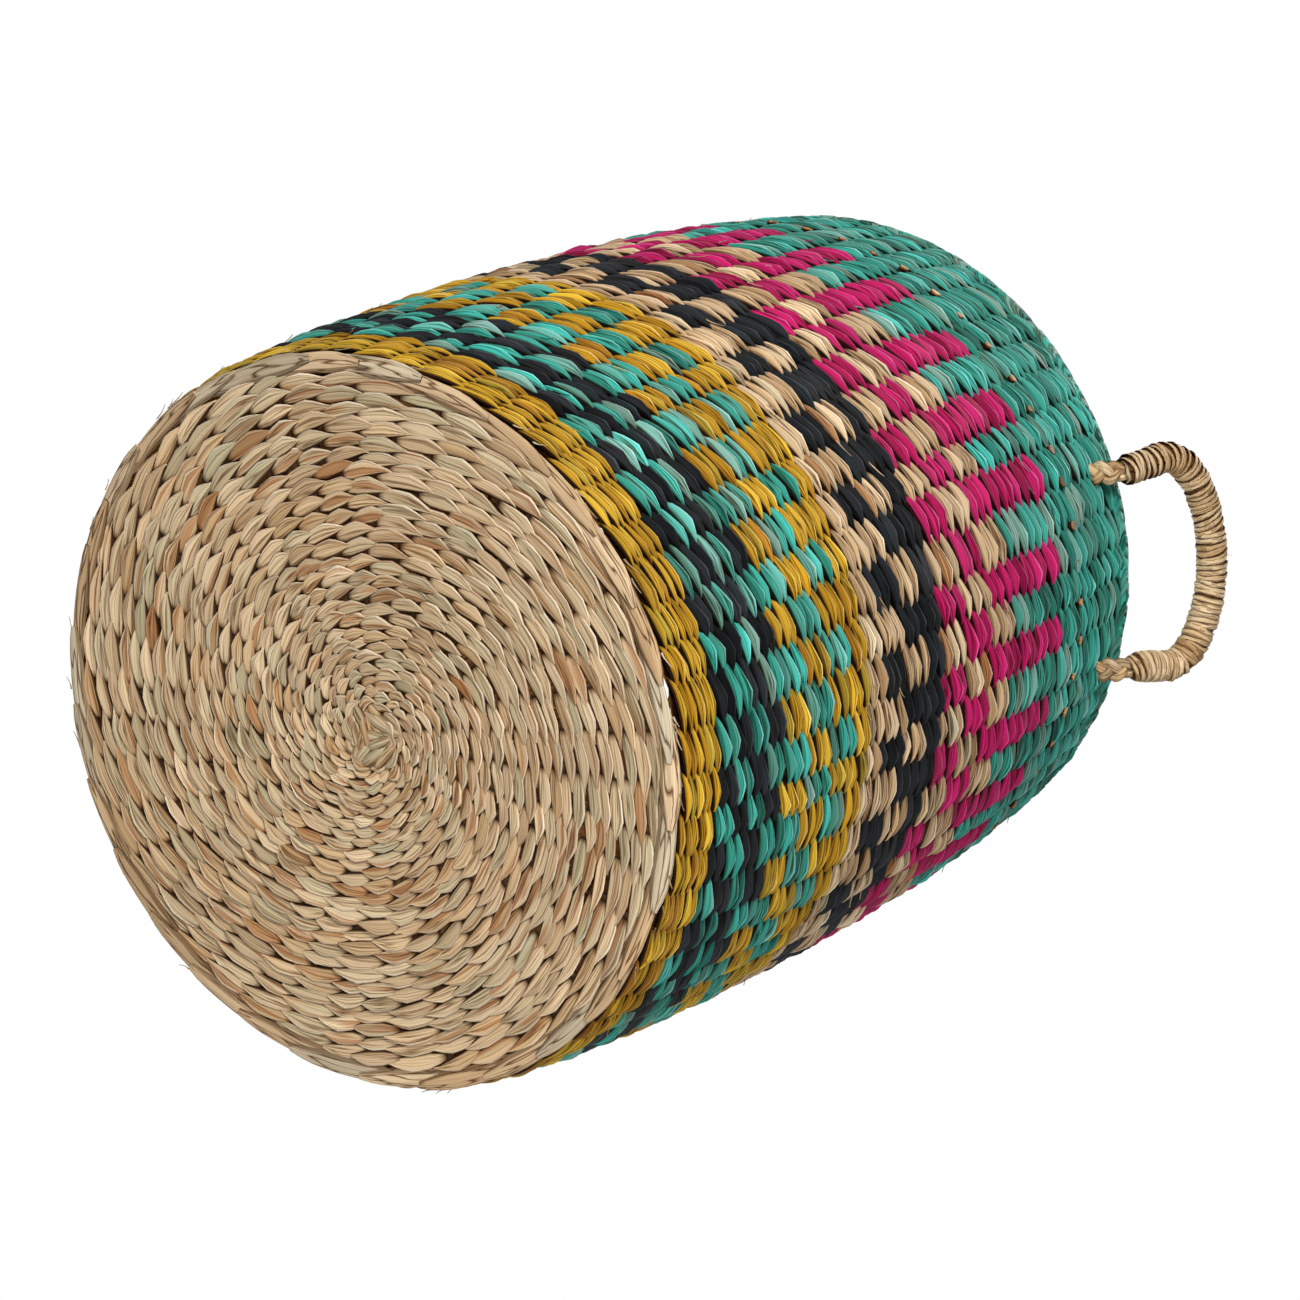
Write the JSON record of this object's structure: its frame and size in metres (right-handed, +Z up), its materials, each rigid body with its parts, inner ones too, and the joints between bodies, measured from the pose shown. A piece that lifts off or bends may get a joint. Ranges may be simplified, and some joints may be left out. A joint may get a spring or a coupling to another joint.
{
  "type": "woven basket",
  "caption": "Round open basket of twined seagrass with coloured check bands, a flat natural base and a wound rope handle on each side that swings at its lashings.",
  "frame": {"origin": "centre of the underside of the base", "axes": "+Z up along the basket's axis, +X towards the handle that the picture shows, +Y along that handle's hinge line"},
  "size_m": [0.4042, 0.357, 0.4524],
  "materials": {
    "natural": "undyed twined seagrass, matt with fine grain",
    "border": "undyed grey-beige flat seagrass strands, matt",
    "mustard": "mustard dyed seagrass, matt",
    "teal": "teal dyed seagrass, matt",
    "charcoal": "black dyed seagrass, matt",
    "pink": "pink dyed seagrass, matt",
    "handle_rope": "braided seagrass rope",
    "handle_cord": "twisted seagrass cord, close wound",
    "lashing": "teal dyed seagrass strand, twisted"
  },
  "bodies": {
    "basket": {"base_weave": "natural", "base_border": "border", "mustard_foot_band": "mustard", "teal_black_check_band": "teal", "mustard_teal_check_band": "mustard", "mustard_line_band": "mustard", "natural_line_band": "natural", "black_natural_check_band": "charcoal", "black_line_band": "charcoal", "pink_natural_check_band": "pink", "pink_teal_stripe_band": "pink", "teal_shoulder_band": "teal", "teal_rim_band": "teal", "rim_border": "teal", "lashing_right_front": "lashing", "lashing_right_back": "lashing", "lashing_left_front": "lashing", "lashing_left_back": "lashing"},
    "handle_right": {"handle_rope_right": "handle_rope", "handle_wrap_right": "handle_cord"},
    "handle_left": {"handle_rope_left": "handle_rope", "handle_wrap_left": "handle_cord"}
  },
  "joints": [
    {"name": "handle_right_swing", "type": "hinge", "parent": "basket", "child": "handle_right", "pos_m": [0.168, 0, 0.3884], "axis": [0, 1, 0], "range_deg": [-15, 120]},
    {"name": "handle_left_swing", "type": "hinge", "parent": "basket", "child": "handle_left", "pos_m": [-0.168, 0, 0.3884], "axis": [0, -1, 0], "range_deg": [-15, 120]}
  ]
}
